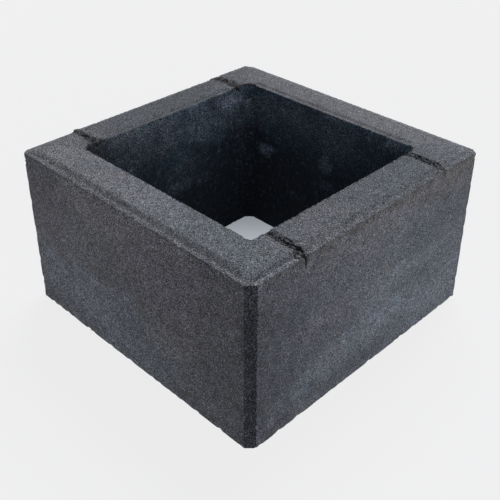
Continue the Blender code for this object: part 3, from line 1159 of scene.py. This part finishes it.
def group(name, outputs, **inputs):
    """A new shader node group, with a vector for each default of three numbers and a float otherwise.

    Gives the group's nodes and the outputs of the node that brings its inputs in.
    """
    tree = bpy.data.node_groups.new(name, "ShaderNodeTree")
    for label, default in inputs.items():
        kind = "NodeSocketVector" if isinstance(default, tuple) else "NodeSocketFloat"
        socket = tree.interface.new_socket(name=label.replace("_", " "), in_out="INPUT", socket_type=kind)
        socket.default_value = default
    for label in outputs:
        tree.interface.new_socket(name=label, in_out="OUTPUT", socket_type="NodeSocketFloat")
    nodes = NodeTree(tree)
    return nodes, nodes.node("NodeGroupInput").outputs


def put_out(nodes, **values):
    """Ends a group with its outputs, and gives the group."""
    nodes.feed(nodes.node("NodeGroupOutput"), **values)
    return nodes.tree


def grain_group():
    """Salt and pepper grain of dry-pressed concrete: a value round 1, and a height."""
    nodes, ins = group("Concrete grain", ("Value", "Height"), Vector=(0.0, 0.0, 0.0), Size=1.8 * MM,
                       Contrast=0.5, Grains=1.55, Haze=1.8, Lumps=0.7, Pale=1.6, Dark=0.85)
    scale = nodes.math("DIVIDE", 1.0, ins["Size"])
    fine = nodes.noise(ins["Vector"], scale, 2.0, 0.7)
    lumps = nodes.noise(ins["Vector"], 1.0 / (8.0 * MM), 3.0, 0.45)
    cell = nodes.node("ShaderNodeTexVoronoi")
    nodes.feed(cell, Vector=ins["Vector"], Scale=scale)
    chance = nodes.node("ShaderNodeSeparateColor")
    nodes.feed(chance, Color=cell.outputs["Color"])
    pale = nodes.step(chance.outputs[0], 0.93, 0.97)
    dark = nodes.step(chance.outputs[1], 0.86, 0.94)

    def swing(value, amount):
        return nodes.math("MULTIPLY", nodes.math("SUBTRACT", value, 0.5), amount)

    soft = nodes.math("ADD", swing(fine, ins["Haze"]), swing(lumps, ins["Lumps"]))
    total = nodes.math("ADD", swing(chance.outputs[2], ins["Grains"]), soft)
    total = nodes.math("ADD", total, nodes.math("MULTIPLY", pale, ins["Pale"]))
    total = nodes.math("SUBTRACT", total, nodes.math("MULTIPLY", dark, ins["Dark"]))
    value = nodes.math("ADD", 1.0, nodes.math("MULTIPLY", total, ins["Contrast"]))
    raised = nodes.math("ADD", fine, nodes.math("MULTIPLY", lumps, 0.6))
    height = nodes.math("SUBTRACT", raised, nodes.math("MULTIPLY", dark, 0.7))
    return put_out(nodes, Value=nodes.math("MAXIMUM", value, 0.12), Height=height)


def cloud_group():
    """Soft clouds, as where the mix was richer or wetter when it was pressed."""
    nodes, ins = group("Concrete clouds", ("Mask",), Vector=(0.0, 0.0, 0.0), Size=60 * MM, Low=0.4,
                       High=0.65)
    clouds = nodes.noise(ins["Vector"], nodes.math("DIVIDE", 1.0, ins["Size"]), 4.0, 0.55, 0.4)
    return put_out(nodes, Mask=nodes.step(clouds, ins["Low"], ins["High"]))


def band_group():
    """Long, soft bands of bloom that lie aslant on the faces and fade out upwards."""
    nodes, ins = group("Concrete bands", ("Mask",), Vector=(0.0, 0.0, 0.0), Size=80 * MM, Stretch=3.0,
                       Low=0.45, High=0.65, Top=170 * MM, Full=60 * MM)
    x, y, z = nodes.parts(ins["Vector"])
    slant = nodes.math("SUBTRACT", nodes.math("MULTIPLY", x, 0.45), nodes.math("MULTIPLY", y, 0.16))
    lifted = nodes.math("MULTIPLY", nodes.math("ADD", z, slant), ins["Stretch"])
    joined = nodes.node("ShaderNodeCombineXYZ")
    nodes.feed(joined, X=x, Y=y, Z=lifted)
    waves = nodes.noise(joined.outputs[0], nodes.math("DIVIDE", 1.0, ins["Size"]), 5.0, 0.6, 0.3)
    bands = nodes.step(waves, ins["Low"], ins["High"])
    fade = nodes.step(z, ins["Top"], ins["Full"])
    return put_out(nodes, Mask=nodes.math("MULTIPLY", bands, fade))


def patch_group():
    """One soft patch round a place, with a ragged border."""
    nodes, ins = group("Concrete patch", ("Mask",), Vector=(0.0, 0.0, 0.0), Centre=(0.0, 0.0, 0.0),
                       Reach=(0.1, 0.1, 0.1), Lumps=0.5)
    away = nodes.node("ShaderNodeVectorMath", operation="SUBTRACT")
    nodes.feed(away, ins["Vector"], ins["Centre"])
    share = nodes.node("ShaderNodeVectorMath", operation="DIVIDE")
    nodes.feed(share, away.outputs[0], ins["Reach"])
    length = nodes.node("ShaderNodeVectorMath", operation="LENGTH")
    nodes.feed(length, share.outputs[0])
    swing = nodes.math("MULTIPLY", nodes.math("SUBTRACT", ins["Lumps"], 0.5), 1.9)
    ragged = nodes.math("ADD", length.outputs["Value"], swing)
    return put_out(nodes, Mask=nodes.step(ragged, 1.0, 0.2))


def on_face(patches, axis, level, depth):
    """Patches of a flat face in space: the axis that it looks along, its place there and their depth."""
    whole = []
    for tint, place, reach, strength in patches:
        place = (*place[:axis], level, *place[axis:])
        reach = (*reach[:axis], depth, *reach[axis:])
        whole.append((tint, place, reach, strength))
    return whole


def colour(value):
    """A colour property as a socket takes it."""
    return (*value, 1.0)


def empty_tree(owner):
    """The cleared node tree of a material or a world."""
    owner.use_nodes = True
    owner.node_tree.nodes.clear()
    return NodeTree(owner.node_tree)


class ConcretePaint:
    """Mixes the concrete's colour layer by layer, from the look's colours and the skin's masks."""

    def __init__(self, nodes, look):
        self.nodes = nodes
        self.look = look
        self.place = nodes.node("ShaderNodeTexCoord").outputs["Object"]
        self.cloud_tree = cloud_group()
        self.patch_tree = patch_group()
        self.lumps = nodes.noise(self.place, 1.0 / LUMP_SIZE, 4.0, 0.58)
        self.flecks = nodes.noise(self.place, 1.0 / FLECK_SIZE, 3.0, 0.6)
        self.mottles = self.clouds(13 * MM, 0.42, 0.72)
        self.damp = self.clouds(45 * MM, 0.46, 0.30)
        self.edge = nodes.mask("edge")
        self.cut = nodes.mask("cut")

    def clouds(self, size, low, high):
        """A mask of soft clouds of one size."""
        return self.nodes.place_group(self.cloud_tree, Vector=self.place, Size=size, Low=low, High=high)[0]

    def named(self, name):
        """One of the look's colours."""
        return colour(getattr(self.look, name))

    def tint(self, base, name, share, amount):
        """The colour so far, mixed towards one of the look's by a mask times an amount."""
        return self.nodes.mix(self.nodes.math("MULTIPLY", share, amount), base, self.named(name))

    def patched(self, base, patches):
        """The colour so far with soft patches over it, in their order."""
        for name, centre, reach, strength in patches:
            border = self.lumps if max(reach) > SMALL_PATCH else self.flecks
            patch = self.nodes.place_group(
                self.patch_tree, Vector=self.place, Centre=tuple(c * MM for c in centre),
                Reach=tuple(r * MM for r in reach), Lumps=border)
            base = self.tint(base, name, patch[0], strength)
        return base

    def walls(self):
        """The faces and the top, with painted shade on the pressed edges and on the corner cuts."""
        nodes = self.nodes
        bands = nodes.place_group(band_group(), Vector=self.place)[0]
        base = self.tint(self.named("body"), "bloom", self.clouds(70 * MM, 0.48, 0.70), 0.30)
        base = self.tint(base, "bloom", bands, 0.25)
        base = self.tint(base, "pale", self.mottles, 0.55)
        front = on_face(FRONT_PATCHES, 1, -HALF / MM, FACE_DEPTH)
        right = on_face(RIGHT_PATCHES, 0, HALF / MM, FACE_DEPTH)
        top = on_face(TOP_PATCHES, 2, TOP / MM, TOP_DEPTH)
        base = nodes.mix(nodes.mask("bed"), self.patched(base, front + right), self.patched(base, top))
        base = self.tint(base, "pale", self.mottles, 0.22)
        base = self.tint(base, "damp", self.damp, 0.30)
        base = self.tint(base, "dust", self.edge, 0.55)
        # Painted shade on the pressed edges' land and slope, by the way each wall faces, and on the corner
        # cuts
        painted_shade = nodes.math("ADD", nodes.mask("ledge"), nodes.math("MULTIPLY", self.cut, CUT_SHADE))
        return self.tint(base, "painted_shade", painted_shade, 1.0)

    def core(self):
        """The core's walls: a darker, bluer shaded copy of the concrete, with painted shade that grows
        darker towards the base.
        """
        low = self.nodes.step(self.nodes.parts(self.place)["Z"], *CORE_FADE)
        base = self.tint(self.named("painted_core_shade"), "scuff", self.clouds(36 * MM, 0.46, 0.62), 0.7)
        base = self.tint(base, "scuff", self.clouds(11 * MM, 0.50, 0.72), 0.6)
        base = self.tint(base, "damp_and_deep_shade", low, 0.90)
        base = self.patched(base, CORE_PATCHES)
        base = self.tint(base, "scuff", self.clouds(6 * MM, 0.52, 0.70), 0.45)
        return self.tint(base, "damp_and_deep_shade", self.damp, 0.55)

    def whole(self):
        """Walls and core, with the rubble and the painted shade in the depths of the marks."""
        base = self.nodes.mix(self.nodes.mask("core"), self.walls(), self.core())
        base = self.tint(base, "brown", self.nodes.mask("rubble"), 0.70)
        return self.nodes.mix(self.nodes.mask("crevice_shade"), base, self.named("crevice_shade"))


def concrete_material(look):
    """Dark, matt, dry-pressed concrete with blooms, damp patches, worn edges and grain, and painted shade
    on its edges, in its marks and in its core.
    """
    material = bpy.data.materials.new(CONCRETE)
    nodes = empty_tree(material)
    paint = ConcretePaint(nodes, look)
    worn = nodes.math("ADD", paint.edge, nodes.math("MULTIPLY", paint.cut, CUT_GRAIN))
    contrast = nodes.math("ADD", nodes.mask("rough"), worn)
    grain = nodes.place_group(grain_group(), Vector=paint.place, Size=GRAIN_SIZE, Contrast=contrast)
    grey = nodes.node("ShaderNodeCombineColor")
    nodes.feed(grey, grain["Value"], grain["Value"], grain["Value"])
    base = nodes.mix(1.0, paint.whole(), grey.outputs[0], "MULTIPLY")

    bump = nodes.node("ShaderNodeBump")
    nodes.feed(bump, Strength=1.0, Distance=GRAIN_HEIGHT, Height=grain["Height"])
    shader = nodes.node("ShaderNodeBsdfPrincipled")
    nodes.feed(shader, Base_Color=base, Roughness=0.93, Specular_IOR_Level=0.3, Normal=bump.outputs[0])
    nodes.feed(nodes.node("ShaderNodeOutputMaterial"), Surface=shader.outputs[0])
    return material


def add_piece(context, name, mesh):
    """Puts a piece of the block's surface in the scene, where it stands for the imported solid."""
    piece = bpy.data.objects.new(name, mesh)
    context.scene.collection.objects.link(piece)
    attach(piece, BODY)
    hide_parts(NODE)


class FENCE_OT_block(bpy.types.Operator):
    """Build the block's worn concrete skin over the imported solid."""

    bl_idname = "fence.block"
    bl_label = "Concrete block"

    def execute(self, context):
        sizes = context.scene.block_sizes
        skin = Skin(SolidReader(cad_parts[NODE]), sizes)
        mesh = skin_mesh(skin)
        wear(mesh, skin, sizes)
        put_ledge(mesh, skin, sizes)
        put_rough(mesh, skin)
        put_cut(mesh, skin, sizes)
        mesh.shade_smooth()
        mesh.materials.append(concrete_material(context.scene.concrete_look))
        add_piece(context, "concrete_block", mesh)
        return {"FINISHED"}


class FENCE_OT_crumbs(bpy.types.Operator):
    """Scatter the loose crumbs that lie in the bar marks."""

    bl_idname = "fence.crumbs"
    bl_label = "Crumbs in the marks"

    def execute(self, context):
        chances = random.Random(CRUMB_SEED)
        solid = SolidReader(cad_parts[NODE])
        crumbs = []
        for side, bar in MARKS:
            crumbs.extend(Mark(solid, context.scene.block_sizes, side, bar).crumbs(chances))
        for place, half in CLODS:
            x, y = Vector(place) * MM
            z = solid.height(x, y) - CLOD_SINK * half * MM
            crumbs.append((Vector((x, y, z)), half * MM))
        mesh = crumb_mesh(crumbs, chances)
        mesh.materials.append(bpy.data.materials[CONCRETE])
        add_piece(context, "mark_crumbs", mesh)
        return {"FINISHED"}


def seen_directly(nodes):
    """1 for what the camera sees, straight or by way of gloss and glass, and 0 for other light."""
    light = nodes.node("ShaderNodeLightPath")
    seen = nodes.math("MAXIMUM", light.outputs["Is Camera Ray"], light.outputs["Is Glossy Ray"])
    return nodes.math("MAXIMUM", seen, light.outputs["Is Transmission Ray"])


def floor_glow(nodes, studio):
    """What the camera sees of the floor: its colour, and how much of that is its own glow.

    The floor inside the core is given painted shade in its glow: darker and cooler, and brighter towards
    the camera.
    """
    place = nodes.node("ShaderNodeTexCoord").outputs["Object"]
    x, y, _ = nodes.parts(place)
    square = nodes.math("MAXIMUM", nodes.math("ABSOLUTE", x), nodes.math("ABSOLUTE", y))
    past_core = nodes.step(square, *CORE_BORDER)
    (back, dark), (front, bright) = CORE_SHADES
    nearer = nodes.step(nodes.math("SUBTRACT", x, y), back, front, dark, bright)
    shaded = nodes.node("ShaderNodeVectorMath", operation="SCALE")
    nodes.feed(shaded, studio.core_floor, Scale=nearer)
    seen = nodes.mix(past_core, shaded.outputs[0], colour(studio.backdrop))
    length = nodes.node("ShaderNodeVectorMath", operation="LENGTH")
    nodes.feed(length, place)
    outside = nodes.step(length.outputs["Value"], *GLOW_REACH, NEAR_GLOW, 1.0)
    more = nodes.math("MULTIPLY", past_core, nodes.math("SUBTRACT", outside, CORE_GLOW))
    return seen, nodes.math("ADD", more, CORE_GLOW)


def floor_material(studio):
    """A pale matt floor, which the camera sees brighter than the block does."""
    material = bpy.data.materials.new("studio_floor")
    nodes = empty_tree(material)
    seen = seen_directly(nodes)
    dim = tuple(c * FLOOR_SHARE for c in studio.floor_colour)
    matt = nodes.node("ShaderNodeBsdfDiffuse")
    nodes.feed(matt, Color=nodes.mix(seen, colour(dim), colour(studio.floor_colour)))
    tint, share = floor_glow(nodes, studio)
    glow = nodes.node("ShaderNodeEmission")
    nodes.feed(glow, Color=tint, Strength=1.0)
    both = nodes.node("ShaderNodeMixShader")
    nodes.feed(both, nodes.math("MULTIPLY", seen, share), matt.outputs[0], glow.outputs[0])
    nodes.feed(nodes.node("ShaderNodeOutputMaterial"), Surface=both.outputs[0])
    return material


def studio_world(studio):
    """Weak bluish light from low down all round, with the backdrop where the camera looks."""
    world = bpy.data.worlds.new("studio")
    nodes = empty_tree(world)
    height = nodes.parts(nodes.node("ShaderNodeTexCoord").outputs["Generated"])["Z"]
    level = nodes.step(height, *SKY_BAND, 1.0, SKY_TOP)
    sky = nodes.mix(level, (0.0, 0.0, 0.0, 1.0), colour(studio.ambient))
    back = nodes.node("ShaderNodeBackground")
    nodes.feed(back, Color=nodes.mix(seen_directly(nodes), sky, colour(studio.backdrop)), Strength=1.0)
    nodes.feed(nodes.node("ShaderNodeOutputWorld"), Surface=back.outputs[0])
    return world


def add_light(name, kind, power, tint):
    """A light of a kind, with its object."""
    light = bpy.data.lights.new(name, kind)
    light.energy = power
    light.color = tint
    lamp = bpy.data.objects.new(name, light)
    bpy.context.scene.collection.objects.link(lamp)
    return light, lamp


def add_lamp(name, place, width, power, tint):
    """A square soft lamp that points at the block's middle."""
    light, lamp = add_light(name, "AREA", power, tint)
    light.shape = "SQUARE"
    light.size = width
    lamp.location = place
    aim = Vector((0, 0, TOP / 2)) - Vector(place)
    lamp.rotation_euler = aim.to_track_quat("-Z", "Y").to_euler()
    lamp.visible_camera = False


def add_sun(way, spread, power, tint):
    """A wide, even light that comes from one direction."""
    light, lamp = add_light("sun_top", "SUN", power, tint)
    light.angle = math.radians(spread)
    lamp.rotation_euler = Vector(way).to_track_quat("Z", "Y").to_euler()


def add_camera(studio):
    """The camera, standing where the photograph was taken from."""
    data = bpy.data.cameras.new("camera")
    data.sensor_width = SENSOR
    data.lens = studio.focal
    data.shift_x, data.shift_y = studio.shift
    camera = bpy.data.objects.new("camera", data)
    bpy.context.scene.collection.objects.link(camera)
    a, e = studio.azimuth, studio.elevation
    back = Vector((math.sin(a) * math.cos(e), -math.cos(a) * math.cos(e), math.sin(e)))
    right = Vector((math.cos(a), math.sin(a), 0))
    turn = Matrix((right, back.cross(right), back)).transposed().to_4x4()
    place = Vector(studio.target) + back * studio.distance
    camera.matrix_world = Matrix.Translation(place) @ turn
    bpy.context.scene.camera = camera


class FENCE_OT_studio(bpy.types.Operator):
    """Set up the floor, the backdrop, the lamps and the camera."""

    bl_idname = "fence.studio"
    bl_label = "Studio"

    def execute(self, context):
        studio = context.scene.studio_setup
        bpy.ops.mesh.primitive_circle_add(vertices=96, radius=FLOOR_RADIUS, fill_type="NGON")
        floor = context.object
        floor.name = "studio_floor"
        floor.location = (0, 0, -FLOOR_DROP)
        floor.data.materials.append(floor_material(studio))
        add_sun(*SUN)
        for name, settings in LAMPS.items():
            add_lamp(name, *settings)
        context.scene.world = studio_world(studio)
        context.scene.view_settings.view_transform = "Standard"
        add_camera(studio)
        return {"FINISHED"}


class FENCE_PT_panel(bpy.types.Panel):
    """Lists the steps that dress the block, and its settings."""

    bl_idname = "FENCE_PT_panel"
    bl_label = "Fence block"
    bl_space_type = "VIEW_3D"
    bl_region_type = "UI"
    bl_category = "Fence block"

    def draw(self, context):
        for step in STEPS:
            self.layout.operator(step.bl_idname)
        for name, settings in GROUPS.items():
            box = self.layout.box()
            for field in settings.__annotations__:
                box.prop(getattr(context.scene, name), field)


STEPS = (FENCE_OT_block, FENCE_OT_crumbs, FENCE_OT_studio)
GROUPS = {"block_sizes": BlockSizes, "concrete_look": ConcreteLook, "studio_setup": StudioSetup}
CLASSES = (*GROUPS.values(), *STEPS, FENCE_PT_panel)


def register():
    """Registers the classes and the settings on the scene."""
    for item in CLASSES:
        bpy.utils.register_class(item)
    for name, item in GROUPS.items():
        setattr(bpy.types.Scene, name, PointerProperty(type=item))


def unregister():
    """Takes the settings and the classes away again."""
    for name in GROUPS:
        delattr(bpy.types.Scene, name)
    for item in reversed(CLASSES):
        bpy.utils.unregister_class(item)


def main():
    """Builds everything in order."""
    register()
    bpy.ops.fence.block()
    bpy.ops.fence.crumbs()
    bpy.ops.fence.studio()


if __name__ == "__main__":
    main()
